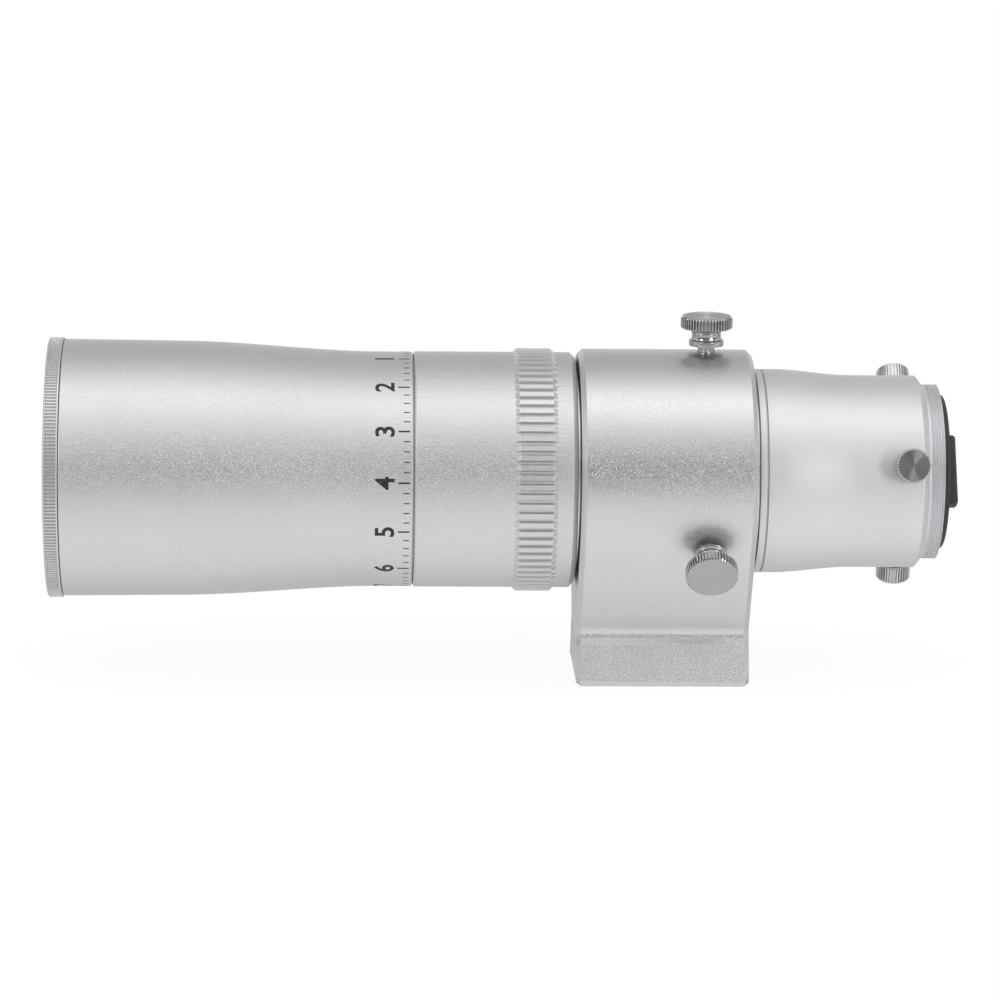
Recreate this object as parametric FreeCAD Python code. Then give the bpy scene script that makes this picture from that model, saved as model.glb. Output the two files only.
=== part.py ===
import FreeCAD, Part

import math
import os

from FreeCAD import Vector

# A 52 mm f/4 finder scope with a helical focuser, held in a ring bracket with a dovetail foot.
# Millimetres. +X runs along the tube towards the eye end, +Z is up, and the origin is the
# centre of the foot's underside. Outlines of turned pieces are corners (x, radius) or
# (x, radius, chamfer), and a list inside an outline is a smooth run through its points.

AXIS_HEIGHT = 50.0          # tube axis above the foot's underside
RUNNING_GAP = 0.08          # radial room round a screw in its hole
SLIDING_GAP = 0.10          # radial room between tubes that slide or turn
SEAT_GAP = 0.02             # room between pieces that are screwed or pressed together

# Front cap
CAP_FRONT = -147.0
CAP_RADIUS = 31.1
CAP_TEETH = 228
CAP_TOOTH_DEPTH = 0.25
CAP_RECESS_RADIUS = 26.5    # the shallow recess in its front face
CAP_RECESS_DEPTH = 0.8
CAP_SEAM = 0.1              # gap between the cap's rim and the barrel
CAP_SPIGOT_RADIUS = 28.6
CAP_SPIGOT_LENGTH = 4.0
CAP_WALL = 1.6

# Objective barrel and the optics in it
BARREL_FRONT = -143.4
BARREL_REAR = -60.2
BARREL_FRONT_RADIUS = 30.75
BARREL_REAR_RADIUS = 28.15
BARREL_BORE = 28.8
BARREL_FLARE = [            # the outside, from the straight front to the straight rear
    (-114.0, 30.47), (-104.0, 30.1), (-94.3, 29.49), (-84.6, 28.84), (-75.0, 28.33), (-66.0, 28.15),
]
CELL_SHOULDER = -110.2      # the cell's rear face, against the barrel's step
CELL_FRONT = -125.0
LENS_RADIUS = 26.9
CLEAR_RADIUS = 26.0
CROWN_FRONT = -124.0        # vertex positions along the axis
CROWN_REAR = -115.0
FLINT_FRONT = -114.6
FLINT_REAR = -111.6
CROWN_CURVE = 130.0         # radii of the lens surfaces
INNER_CURVE = 98.0
RETAINER_FRONT = -124.6
RETAINER_REAR = -121.5

# Helicoid tube, which is screwed into the barrel and runs inside the focus ring
HELICOID_FRONT = -74.0
HELICOID_REAR = -32.6
HELICOID_RADIUS = 25.25
KEY_FRONT = -54.0
KEY_REAR = -48.0
KEY_WIDTH = 3.0
KEY_SEAT_DEPTH = 1.3        # how deep the key sits in the main tube's wall
KEY_SCREW_INSET = 1.6       # from the key's end to a screw's middle
KEY_SCREW_RADIUS = 0.6
KEY_SCREW_HEAD_RADIUS = 1.05
KEY_SCREW_SEAT = 24.2       # distances of the screw head from the tube axis
KEY_SCREW_TOP = 24.95

# Focus ring and what holds it on the tube
RING_FRONT = -60.05
RING_REAR = -21.5
RING_RADIUS = 28.25
GRIP_FRONT = -36.3
GRIP_REAR = -26.4
GRIP_RADIUS = 29.15
GRIP_RIBS = 78
POCKET_FRONT = -30.9        # step in the focus ring that takes the thrust
POCKET_RADIUS = 26.6
LOCK_RING_FRONT = -27.1
LOCK_RING_REAR = -22.0
FLANGE_FRONT = -30.3        # thrust flange on the main tube
FLANGE_REAR = -27.7
FLANGE_RADIUS = 26.4
WASHER_THICKNESS = 0.5

# Main tube
TUBE_FRONT = -62.0
TUBE_REAR = 30.5
TUBE_RADIUS = 23.25
TUBE_BORE = 20.75
SPIGOT_RADIUS = 21.9
END_RING_FRONT = 21.5
END_RING_REAR = 23.15
END_RING_RADIUS = 24.5
BAFFLES = {"baffle_front": (-40.0, 18.5), "baffle_middle": (-8.0, 16.5), "baffle_rear": (14.0, 14.5)}
BAFFLE_THICKNESS = 1.2

# Bracket
BRACKET_HALF = 20.8         # half its length along the tube
BRACKET_RADIUS = 29.1
BRACKET_BORE = 24.9
BRACKET_CHAMFER = 1.2
NECK_HALF_WIDTH = 11.2
NECK_HEIGHT = 12.3
NECK_FILLET = 2.2
FOOT_HEIGHT = 10.1
FOOT_TOP_HALF_WIDTH = 12.9
FOOT_HALF_WIDTH = 16.0
FOOT_CORNER = 1.4
O_RING_X = -17.5            # the o-ring is the pivot that the tube is aimed about
O_RING_SECTION = 1.0
O_RING_RADIUS = BRACKET_BORE - 0.05 - O_RING_SECTION
O_RING_GROOVE = 3.0

# Aim screws, at angles measured from the -Y side upwards
AIM_X = 9.9
AIM_SCREWS = {"top": (90.0, 0.05), "front": (-30.0, 0.25), "back": (210.0, 0.25)}
AIM_SHANK = 1.97
AIM_TIP_LENGTH = 1.7
AIM_TIP_RADIUS = 1.3
AIM_FLANGE = 30.2           # distances from the tube axis
AIM_NECK = 31.9
AIM_HEAD = 34.7
AIM_TOP = 37.9
AIM_HEAD_RADIUS = 6.2
AIM_FLANGE_RADIUS = 4.15
AIM_NECK_RADIUS = 3.4
AIM_TEETH = 50

# Nosepiece holder
HOLDER_FRONT = 23.2
HOLDER_SEAM = (0.35, 23.9)  # width of the dark seam at its front, and the radius behind it
HOLDER_REAR = 62.1
HOLDER_RADIUS = 24.45
HOLDER_WAIST = [            # the outside, from the wide front to the slim rear
    (28.5, 24.45), (32.0, 24.1), (36.5, 23.62), (41.0, 23.28), (46.0, 23.1),
]
HOLDER_SLIM_RADIUS = 23.1
HOLDER_BORE = 15.9
THREAD_RADIUS = 21.0
THREAD_PITCH = 0.75
THREAD_DEPTH = 0.4
THREAD_REAR = 65.8
RING_SEAT_FRONT = 54.4      # groove for the split compression ring
RING_SEAT_REAR = 59.6
RING_SEAT_RADIUS = 17.5

# Clamp screws, at angles measured from the -Y side upwards
CLAMP_X = 57.3
CLAMP_SCREWS = {"front": 14.6, "top": 134.6, "bottom": -105.4}
CLAMP_SHANK = 1.45
CLAMP_TIP = 17.5
CLAMP_HEAD = 24.5
CLAMP_END = 28.9
CLAMP_RADIUS = 4.15
CLAMP_TEETH = 36
CLAMP_COLLAR_RADIUS = 2.6   # the short collar between the head and the holder

# Dust plug
PLUG_FRONT = 50.0
PLUG_FLANGE_REAR = 67.3
PLUG_REAR = 71.0
PLUG_RADIUS = 18.5
PLUG_SPIGOT = 15.6
PLUG_WALL = 1.8
GRIP_HALF_LENGTH = 8.9
GRIP_THICKNESS = 4.0
GRIP_TILT = 33.0

ALONG_X = Vector(1, 0, 0)
ORIGIN = Vector(0, 0, 0)


def at(x, radius):
    return Vector(x, 0, radius)


def line(first, last):
    return Part.LineSegment(first, last).toShape()


def smooth_run(points):
    """A curve through the points that starts and ends parallel to X."""
    curve = Part.BSplineCurve()
    along = points[-1] - points[0]
    end = Vector(math.copysign(1.0, along.x), 0, 0)
    curve.interpolate(Points=points, InitialTangent=end, FinalTangent=end)
    return curve.toShape()


def outline_stop(outline, place):
    """First point, last point and edge of one item of a closed outline."""
    item = outline[place]
    if isinstance(item, list):
        points = [at(*corner) for corner in item]
        return points[0], points[-1], smooth_run(points)
    here = at(*item[:2])
    if len(item) < 3 or item[2] == 0:
        return here, here, None
    ends = []
    for step, side in ((-1, -1), (1, 0)):
        neighbour = outline[(place + step) % len(outline)]
        corner = neighbour[side] if isinstance(neighbour, list) else neighbour
        away = at(*corner[:2]) - here
        ends.append(here + away * (item[2] / away.Length))
    return ends[0], ends[1], line(*ends)


def turned(outline, height=AXIS_HEIGHT):
    """A solid turned about an axis along X at that height."""
    stops = [outline_stop(outline, place) for place in range(len(outline))]
    edges = []
    for place, (first, last, edge) in enumerate(stops):
        if edge:
            edges.append(edge)
        following = stops[(place + 1) % len(stops)][0]
        if last.distanceToPoint(following) > 1e-6:
            edges.append(line(last, following))
    solid = Part.Face(Part.Wire(edges)).revolve(ORIGIN, ALONG_X, 360)
    solid.translate(Vector(0, 0, height))
    return solid


def tube(front, rear, outer, inner, chamfer=0.2):
    """A plain ring about the tube axis, with its four corners broken."""
    corners = ((front, inner), (front, outer), (rear, outer), (rear, inner))
    return turned([(x, radius, chamfer) for x, radius in corners])


def ribbed(front, rear, tip, root, ribs, tip_share, root_share, height=AXIS_HEIGHT):
    """A prism along X with straight ribs round it. The shares are parts of the rib pitch."""
    flank = (1 - tip_share - root_share) / 2
    steps = ((0, tip), (tip_share, tip), (tip_share + flank, root), (1 - flank, root))
    points = []
    for rib in range(ribs):
        for share, radius in steps:
            angle = 2 * math.pi * (rib + share) / ribs
            points.append(Vector(front, radius * math.cos(angle), height + radius * math.sin(angle)))
    face = Part.Face(Part.makePolygon(points + points[:1]))
    return face.extrude(Vector(rear - front, 0, 0))


def radial(shape, x, angle):
    """Turns a shape made along +X from the origin to point out of the tube axis at x."""
    placed = shape.copy()
    placed.rotate(ORIGIN, Vector(0, 1, 0), -90)
    placed.rotate(ORIGIN, ALONG_X, 90 - angle)
    placed.translate(Vector(x, 0, AXIS_HEIGHT))
    return placed


def rod(start, end, radius, chamfer=0.2):
    """A round bar along +X from the origin's axis."""
    return turned([(start, 0), (start, radius, chamfer), (end, radius, chamfer), (end, 0)], 0)


def front_cap():
    rim_rear = BARREL_FRONT - CAP_SEAM
    band_front = CAP_FRONT + 0.9
    band_rear = rim_rear - 0.55
    root = CAP_RADIUS - CAP_TOOTH_DEPTH
    spigot_rear = BARREL_FRONT + CAP_SPIGOT_LENGTH
    spigot_bore = CAP_SPIGOT_RADIUS - CAP_WALL
    body = turned([
        (CAP_FRONT + CAP_RECESS_DEPTH, 0),
        (CAP_FRONT + CAP_RECESS_DEPTH, CAP_RECESS_RADIUS),
        (CAP_FRONT, CAP_RECESS_RADIUS + CAP_RECESS_DEPTH),
        (CAP_FRONT, CAP_RADIUS, 0.7),
        (band_front, CAP_RADIUS),
        (band_front, root),
        (band_rear, root),
        (band_rear, CAP_RADIUS),
        (rim_rear, CAP_RADIUS, 0.25),
        (rim_rear, CAP_SPIGOT_RADIUS),
        (spigot_rear, CAP_SPIGOT_RADIUS, 0.4),
        (spigot_rear, spigot_bore, 0.4),
        (BARREL_FRONT, spigot_bore),
        (BARREL_FRONT, 0),
    ])
    teeth = ribbed(band_front, band_rear, CAP_RADIUS, root, CAP_TEETH, 0.15, 0.15)
    return body.fuse(teeth).removeSplitter()


def objective_barrel():
    socket = HELICOID_RADIUS + SEAT_GAP
    return turned([
        (BARREL_FRONT, BARREL_FRONT_RADIUS, 0.35),
        BARREL_FLARE,
        (BARREL_REAR, BARREL_REAR_RADIUS, 0.45),
        (BARREL_REAR, socket),
        (HELICOID_FRONT, socket),
        (HELICOID_FRONT, socket - 1.0),
        (HELICOID_FRONT - 4.0, socket - 1.0),
        (CELL_SHOULDER, CLEAR_RADIUS + 0.8),
        (CELL_SHOULDER, BARREL_BORE),
        (BARREL_FRONT, BARREL_BORE, 0.3),
    ])


def lens_cell():
    outer = BARREL_BORE - SEAT_GAP
    rear = CELL_SHOULDER - 0.01
    seat = FLINT_REAR + SEAT_GAP
    pocket = LENS_RADIUS + 0.03
    return turned([
        (CELL_FRONT, outer, 0.3),
        (rear, outer, 0.3),
        (rear, CLEAR_RADIUS),
        (seat, CLEAR_RADIUS),
        (seat, pocket),
        (CELL_FRONT, pocket, 0.3),
    ])


def lens_surface(vertex, curve, rim):
    """An arc from the axis to the rim, and its rim point. A positive curve bulges towards -X."""
    def depth(radius):
        return math.copysign(abs(curve) - math.sqrt(curve ** 2 - radius ** 2), curve)
    start, middle, end = (at(vertex + depth(radius), radius) for radius in (0, rim / 2, rim))
    return Part.Arc(start, middle, end).toShape(), start, end


def lens(front, front_curve, rear, rear_curve):
    """A round lens, from the vertices and curve radii of its two faces. A rear curve of None is flat."""
    front_edge, front_vertex, front_rim = lens_surface(front, front_curve, LENS_RADIUS)
    if rear_curve is None:
        rear_vertex, rear_rim = at(rear, 0), at(rear, LENS_RADIUS)
        rear_edge = line(rear_vertex, rear_rim)
    else:
        rear_edge, rear_vertex, rear_rim = lens_surface(rear, rear_curve, LENS_RADIUS)
    wire = Part.Wire([
        front_edge,
        line(front_rim, rear_rim),
        rear_edge,
        line(rear_vertex, front_vertex),
    ])
    solid = Part.Face(wire).revolve(ORIGIN, ALONG_X, 360)
    solid.translate(Vector(0, 0, AXIS_HEIGHT))
    return solid


def lens_spacer():
    """A thin ring between the rims of the two lenses, which curve alike there."""
    inner = CLEAR_RADIUS + 0.3
    rim_drop, inner_drop = (INNER_CURVE - math.sqrt(INNER_CURVE ** 2 - r ** 2) for r in (LENS_RADIUS, inner))
    front = CROWN_REAR - inner_drop + SEAT_GAP
    rear = FLINT_FRONT - rim_drop - SEAT_GAP
    return turned([(front, inner), (front, LENS_RADIUS), (rear, LENS_RADIUS), (rear, inner)])


def lens_retainer():
    return tube(RETAINER_FRONT, RETAINER_REAR, LENS_RADIUS, CLEAR_RADIUS, 0.15)


def helicoid_tube():
    bore = TUBE_RADIUS + SLIDING_GAP
    shell = tube(HELICOID_FRONT, HELICOID_REAR, HELICOID_RADIUS, bore)
    slot_end = KEY_FRONT - 1.0
    width = KEY_WIDTH + 2 * SLIDING_GAP
    length = HELICOID_REAR - slot_end + 1.0
    slot = Part.makeBox(length, width, 6.0, Vector(slot_end, -width / 2, AXIS_HEIGHT + bore - 2.0))
    return shell.cut(slot)


def focus_ring():
    bore = HELICOID_RADIUS + SLIDING_GAP
    sleeve = turned([
        (RING_FRONT, bore, 0.3),
        (RING_FRONT, RING_RADIUS, 0.4),
        (RING_REAR, RING_RADIUS, 1.2),
        (RING_REAR, POCKET_RADIUS, 0.15),
        (POCKET_FRONT, POCKET_RADIUS),
        (POCKET_FRONT, bore),
    ])
    grip_root = RING_RADIUS + 0.15
    chamfer = GRIP_RADIUS - grip_root + 0.15
    ribs = ribbed(GRIP_FRONT, GRIP_REAR, GRIP_RADIUS + 0.02, grip_root, GRIP_RIBS, 0.56, 0.28)
    band = turned([
        (GRIP_FRONT, POCKET_RADIUS + 0.4),
        (GRIP_FRONT, GRIP_RADIUS, chamfer),
        (GRIP_REAR, GRIP_RADIUS, chamfer),
        (GRIP_REAR, POCKET_RADIUS + 0.4),
    ])
    return sleeve.fuse(ribs.common(band)).removeSplitter()


def main_tube():
    groove_floor = O_RING_RADIUS - O_RING_SECTION - SLIDING_GAP
    half = O_RING_GROOVE / 2
    body = turned([
        (TUBE_FRONT, TUBE_BORE, 0.2),
        (TUBE_FRONT, TUBE_RADIUS, 0.3),
        (FLANGE_FRONT, TUBE_RADIUS),
        (FLANGE_FRONT, FLANGE_RADIUS, 0.2),
        (FLANGE_REAR, FLANGE_RADIUS, 0.2),
        (FLANGE_REAR, TUBE_RADIUS),
        (O_RING_X - half, TUBE_RADIUS, 0.1),
        (O_RING_X - half, groove_floor),
        (O_RING_X + half, groove_floor),
        (O_RING_X + half, TUBE_RADIUS, 0.1),
        (END_RING_FRONT, TUBE_RADIUS),
        (END_RING_FRONT, SPIGOT_RADIUS),
        (TUBE_REAR, SPIGOT_RADIUS, 0.3),
        (TUBE_REAR, TUBE_BORE, 0.2),
    ])
    pocket = key_block(TUBE_RADIUS - KEY_SEAT_DEPTH, TUBE_RADIUS + 1.0)
    return body.cut(pocket).cut(key_screw_shanks())


def key_block(low, high):
    length = KEY_REAR - KEY_FRONT
    return Part.makeBox(length, KEY_WIDTH, high - low, Vector(KEY_FRONT, -KEY_WIDTH / 2, AXIS_HEIGHT + low))


def key_screw_places():
    return (KEY_FRONT + KEY_SCREW_INSET, KEY_REAR - KEY_SCREW_INSET)


def key_screw_shanks():
    shank = rod(TUBE_BORE - 0.5, HELICOID_RADIUS + 1.0, KEY_SCREW_RADIUS, 0.1)
    first, second = (radial(shank, x, 90) for x in key_screw_places())
    return first.fuse(second)


def guide_key():
    """The key that keeps the barrel from turning while the focus ring drives it."""
    key = key_block(TUBE_RADIUS - KEY_SEAT_DEPTH, HELICOID_RADIUS - 0.15)
    recess = rod(KEY_SCREW_SEAT, HELICOID_RADIUS + 1.0, KEY_SCREW_HEAD_RADIUS + 0.05, 0)
    for x in key_screw_places():
        key = key.cut(radial(recess, x, 90))
    return key.cut(key_screw_shanks())


def guide_key_screws():
    screw = turned([
        (TUBE_BORE + 0.2, 0),
        (TUBE_BORE + 0.2, KEY_SCREW_RADIUS),
        (KEY_SCREW_SEAT, KEY_SCREW_RADIUS),
        (KEY_SCREW_SEAT, KEY_SCREW_HEAD_RADIUS),
        (KEY_SCREW_TOP, KEY_SCREW_HEAD_RADIUS, 0.15),
        (KEY_SCREW_TOP, 0),
    ], 0)
    return Part.makeCompound([radial(screw, x, 90) for x in key_screw_places()])


def o_ring():
    return Part.makeTorus(O_RING_RADIUS, O_RING_SECTION, Vector(O_RING_X, 0, AXIS_HEIGHT), ALONG_X)


def baffle(x, inner):
    """A thin stop ring with a sharp bevelled inner edge."""
    rear = x + BAFFLE_THICKNESS
    return turned([(x, inner), (rear, inner + 1.0), (rear, TUBE_BORE), (x, TUBE_BORE)])


def bracket_side():
    """Points down the -Y side of the bracket: ring tangent, neck, foot top, foot bottom."""
    centre = Vector(0, 0, AXIS_HEIGHT)
    neck = Vector(0, -NECK_HALF_WIDTH, NECK_HEIGHT)
    reach = (neck - centre).Length
    angle = math.atan2(NECK_HALF_WIDTH, AXIS_HEIGHT - NECK_HEIGHT) + math.acos(BRACKET_RADIUS / reach)
    tangent = Vector(0, -BRACKET_RADIUS * math.sin(angle), AXIS_HEIGHT - BRACKET_RADIUS * math.cos(angle))
    return [
        tangent,
        neck,
        Vector(0, -FOOT_TOP_HALF_WIDTH, FOOT_HEIGHT),
        Vector(0, -FOOT_HALF_WIDTH, FOOT_CORNER),
        Vector(0, -FOOT_HALF_WIDTH + FOOT_CORNER, 0),
    ]


def bracket():
    near = bracket_side()
    far = [Vector(0, -point.y, point.z) for point in near]
    top = Vector(0, 0, AXIS_HEIGHT + BRACKET_RADIUS)
    path = near + far[::-1]
    edges = [line(first, last) for first, last in zip(path, path[1:])]
    edges.append(Part.Arc(far[0], top, near[0]).toShape())
    block = Part.Face(Part.Wire(edges)).extrude(Vector(2 * BRACKET_HALF, 0, 0))
    block.translate(Vector(-BRACKET_HALF, 0, 0))
    necks = [edge for edge in block.Edges if is_neck_corner(edge)]
    block = block.makeFillet(NECK_FILLET, necks)
    rims = [edge for edge in block.Edges if is_end_edge(edge)]
    block = block.makeChamfer(BRACKET_CHAMFER, rims)
    bore = turned([
        (-BRACKET_HALF - 1, 0),
        (-BRACKET_HALF - 1, BRACKET_BORE + 1.4),
        (-BRACKET_HALF + 0.4, BRACKET_BORE),
        (BRACKET_HALF - 0.4, BRACKET_BORE),
        (BRACKET_HALF + 1, BRACKET_BORE + 1.4),
        (BRACKET_HALF + 1, 0),
    ])
    block = block.cut(bore)
    hole = rod(BRACKET_BORE - 2, BRACKET_RADIUS + 2, AIM_SHANK + RUNNING_GAP, 0)
    for angle, _ in AIM_SCREWS.values():
        block = block.cut(radial(hole, AIM_X, angle))
    return block


def is_neck_corner(edge):
    """True for the two long edges where the bracket's flanks meet its foot."""
    ends = [vertex.Point for vertex in edge.Vertexes]
    return all(abs(abs(p.y) - NECK_HALF_WIDTH) < 0.01 and abs(p.z - NECK_HEIGHT) < 0.01 for p in ends)


def is_end_edge(edge):
    """True for an edge that lies in one of the bracket's two end faces."""
    box = edge.BoundBox
    return box.XLength < 0.01 and abs(abs(box.Center.x) - BRACKET_HALF) < 0.01


def aim_screw(gap):
    head = ribbed(AIM_HEAD, AIM_TOP, AIM_HEAD_RADIUS, AIM_HEAD_RADIUS - 0.35, AIM_TEETH, 0.2, 0.2, 0)
    head = head.common(turned([
        (AIM_HEAD, 0),
        (AIM_HEAD, AIM_HEAD_RADIUS, 0.45),
        (AIM_TOP - 0.1, AIM_HEAD_RADIUS, 0.5),
        (AIM_TOP, AIM_HEAD_RADIUS - 1.4),
        (AIM_TOP, 0),
    ], 0))
    start = TUBE_RADIUS + gap + AIM_TIP_LENGTH
    throat = AIM_NECK_RADIUS + 0.9
    stem = turned([
        (start, 0),
        (start, AIM_SHANK, 0.3),
        (AIM_FLANGE, AIM_SHANK),
        (AIM_FLANGE + 0.45, AIM_FLANGE_RADIUS),
        (AIM_NECK, AIM_FLANGE_RADIUS, 0.2),
        [(AIM_NECK, AIM_NECK_RADIUS + 0.15), (AIM_NECK + 1.4, AIM_NECK_RADIUS), (AIM_HEAD, throat)],
        (AIM_HEAD + 0.6, throat),
        (AIM_HEAD + 0.6, 0),
    ], 0)
    return head.fuse(stem).removeSplitter()


def aim_tip(gap):
    start = TUBE_RADIUS + gap
    return rod(start, start + AIM_TIP_LENGTH - 0.02, AIM_TIP_RADIUS)


def tube_end_ring():
    return tube(END_RING_FRONT + SEAT_GAP, END_RING_REAR, END_RING_RADIUS, SPIGOT_RADIUS + SEAT_GAP)


def thread_teeth():
    """Corners of the thread's grooves, from the holder's rear shoulder to its end."""
    corners = []
    land = 0.2
    x = HOLDER_REAR + 0.4
    while x + THREAD_PITCH < THREAD_REAR - 0.3:
        corners += [
            (x + land, THREAD_RADIUS),
            (x + (THREAD_PITCH + land) / 2, THREAD_RADIUS - THREAD_DEPTH),
            (x + THREAD_PITCH, THREAD_RADIUS),
        ]
        x += THREAD_PITCH
    return corners


def nosepiece_holder():
    seam_width, seam_radius = HOLDER_SEAM
    socket = SPIGOT_RADIUS + SEAT_GAP
    body = turned([
        (HOLDER_FRONT, socket),
        (HOLDER_FRONT, seam_radius),
        (HOLDER_FRONT + seam_width, seam_radius),
        (HOLDER_FRONT + seam_width, HOLDER_RADIUS, 0.3),
        HOLDER_WAIST,
        (HOLDER_REAR - 1.6, HOLDER_SLIM_RADIUS),
        (HOLDER_REAR, THREAD_RADIUS),
        *thread_teeth(),
        (THREAD_REAR, THREAD_RADIUS, 0.5),
        (THREAD_REAR, HOLDER_BORE, 0.4),
        (RING_SEAT_REAR, HOLDER_BORE),
        (RING_SEAT_REAR, RING_SEAT_RADIUS),
        (RING_SEAT_FRONT, RING_SEAT_RADIUS),
        (RING_SEAT_FRONT, HOLDER_BORE),
        (TUBE_REAR + 0.6, HOLDER_BORE),
        (TUBE_REAR + 0.6, socket),
    ])
    hole = rod(CLAMP_TIP - 1, HOLDER_RADIUS + 2, CLAMP_SHANK + RUNNING_GAP, 0)
    for angle in CLAMP_SCREWS.values():
        body = body.cut(radial(hole, CLAMP_X, angle))
    return body


def compression_ring():
    """A split brass ring that the clamp screws press onto the nosepiece."""
    ring = tube(RING_SEAT_FRONT + 0.1, RING_SEAT_REAR - 0.1, RING_SEAT_RADIUS - 0.1, HOLDER_BORE + 0.15)
    split = Part.makeBox(20, 2.0, 20, Vector(RING_SEAT_FRONT - 2, -1.0, AXIS_HEIGHT))
    return ring.cut(split)


def clamp_screw():
    head = ribbed(CLAMP_HEAD, CLAMP_END, CLAMP_RADIUS, CLAMP_RADIUS - 0.3, CLAMP_TEETH, 0.2, 0.2, 0)
    head = head.common(turned([
        (CLAMP_HEAD, 0),
        (CLAMP_HEAD, CLAMP_RADIUS, 0.35),
        (CLAMP_END, CLAMP_RADIUS, 0.45),
        (CLAMP_END, 0),
    ], 0))
    collar = HOLDER_SLIM_RADIUS + 0.4
    stem = turned([
        (CLAMP_TIP, 0),
        (CLAMP_TIP, CLAMP_SHANK, 0.25),
        (collar, CLAMP_SHANK),
        (collar, CLAMP_COLLAR_RADIUS, 0.15),
        (CLAMP_HEAD + 0.5, CLAMP_COLLAR_RADIUS),
        (CLAMP_HEAD + 0.5, 0),
    ], 0)
    return head.fuse(stem).removeSplitter()


def dust_plug():
    flange_front = THREAD_REAR + 0.05
    shell = turned([
        (flange_front, 0),
        (flange_front, PLUG_SPIGOT - PLUG_WALL),
        (PLUG_FRONT, PLUG_SPIGOT - PLUG_WALL, 0.3),
        (PLUG_FRONT, PLUG_SPIGOT, 0.6),
        (flange_front, PLUG_SPIGOT),
        (flange_front, PLUG_RADIUS, 0.3),
        (PLUG_FLANGE_REAR, PLUG_RADIUS, 0.6),
        (PLUG_FLANGE_REAR, 0),
    ])
    half = GRIP_THICKNESS / 2
    depth = PLUG_REAR - PLUG_FLANGE_REAR + 0.5
    start = Vector(PLUG_REAR - depth, -half, AXIS_HEIGHT - GRIP_HALF_LENGTH)
    grip = Part.makeBox(depth, GRIP_THICKNESS, 2 * GRIP_HALF_LENGTH, start)
    corners = [edge for edge in grip.Edges if edge.BoundBox.XMax > PLUG_REAR - 0.01]
    grip = grip.makeFillet(0.8, corners)
    grip.rotate(Vector(0, 0, AXIS_HEIGHT), ALONG_X, -GRIP_TILT)
    return shell.fuse(grip)


def thrust_washer(front):
    return tube(front, front + WASHER_THICKNESS, FLANGE_RADIUS, TUBE_RADIUS + SLIDING_GAP, 0)


def focus_lock_ring():
    """The ring in the focus ring's rear pocket, which holds the thrust flange in place."""
    return tube(LOCK_RING_FRONT, LOCK_RING_REAR, POCKET_RADIUS - SEAT_GAP, TUBE_RADIUS + 2 * SLIDING_GAP)


def solids():
    """Every piece of the scope, by node name."""
    pieces = {
        "front_cap": front_cap(),
        "objective_barrel": objective_barrel(),
        "lens_cell": lens_cell(),
        "crown_lens": lens(CROWN_FRONT, CROWN_CURVE, CROWN_REAR, -INNER_CURVE),
        "flint_lens": lens(FLINT_FRONT, -INNER_CURVE, FLINT_REAR, None),
        "lens_spacer": lens_spacer(),
        "lens_retainer": lens_retainer(),
        "helicoid_tube": helicoid_tube(),
        "focus_ring": focus_ring(),
        "focus_lock_ring": focus_lock_ring(),
        "thrust_washer_front": thrust_washer(FLANGE_FRONT - 0.05 - WASHER_THICKNESS),
        "thrust_washer_rear": thrust_washer(FLANGE_REAR + 0.05),
        "main_tube": main_tube(),
        "guide_key": guide_key(),
        "guide_key_screws": guide_key_screws(),
        "o_ring": o_ring(),
        "bracket": bracket(),
        "tube_end_ring": tube_end_ring(),
        "nosepiece_holder": nosepiece_holder(),
        "compression_ring": compression_ring(),
        "dust_plug": dust_plug(),
    }
    for name, (x, inner) in BAFFLES.items():
        pieces[name] = baffle(x, inner)
    for name, (angle, gap) in AIM_SCREWS.items():
        pieces["aim_screw_" + name] = radial(aim_screw(gap), AIM_X, angle)
        pieces["aim_screw_tip_" + name] = radial(aim_tip(gap), AIM_X, angle)
    for name, angle in CLAMP_SCREWS.items():
        pieces["clamp_screw_" + name] = radial(clamp_screw(), CLAMP_X, angle)
    return pieces


os.makedirs("parts", exist_ok=True)
for name, shape in solids().items():
    shape.exportStep("parts/" + name + ".step")
    print(f"{name:24s} valid {shape.isValid()} solids {len(shape.Solids)} volume {shape.Volume:9.1f}")
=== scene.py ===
import math

import bmesh
import bpy
from mathutils import Matrix, Vector


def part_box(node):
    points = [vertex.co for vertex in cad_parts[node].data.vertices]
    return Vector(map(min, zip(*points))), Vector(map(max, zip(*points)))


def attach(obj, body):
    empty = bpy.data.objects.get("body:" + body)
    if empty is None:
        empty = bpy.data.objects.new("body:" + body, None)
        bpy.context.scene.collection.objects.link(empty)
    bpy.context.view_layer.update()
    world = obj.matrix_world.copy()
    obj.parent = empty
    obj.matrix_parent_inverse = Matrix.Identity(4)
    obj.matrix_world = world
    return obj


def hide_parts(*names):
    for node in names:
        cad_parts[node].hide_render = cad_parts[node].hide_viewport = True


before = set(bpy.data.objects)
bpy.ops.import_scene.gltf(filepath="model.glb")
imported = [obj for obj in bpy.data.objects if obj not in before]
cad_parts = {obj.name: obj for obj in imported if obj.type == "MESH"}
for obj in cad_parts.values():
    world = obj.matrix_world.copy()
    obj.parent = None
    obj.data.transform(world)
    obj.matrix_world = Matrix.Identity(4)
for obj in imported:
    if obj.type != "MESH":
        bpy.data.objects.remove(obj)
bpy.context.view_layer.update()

# A finder scope with a helical focuser, held in a ring bracket with a dovetail foot.
# Lengths in this script are in millimetres unless a name ends in _M, and meshes are scaled to
# metres when they are made. Turned pieces are outlines of (x, radius) or (x, radius, rounding)
# about the tube axis, with +X towards the eye end. Angles of screws are in degrees, measured
# from the side that faces the camera up over the top.

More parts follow.
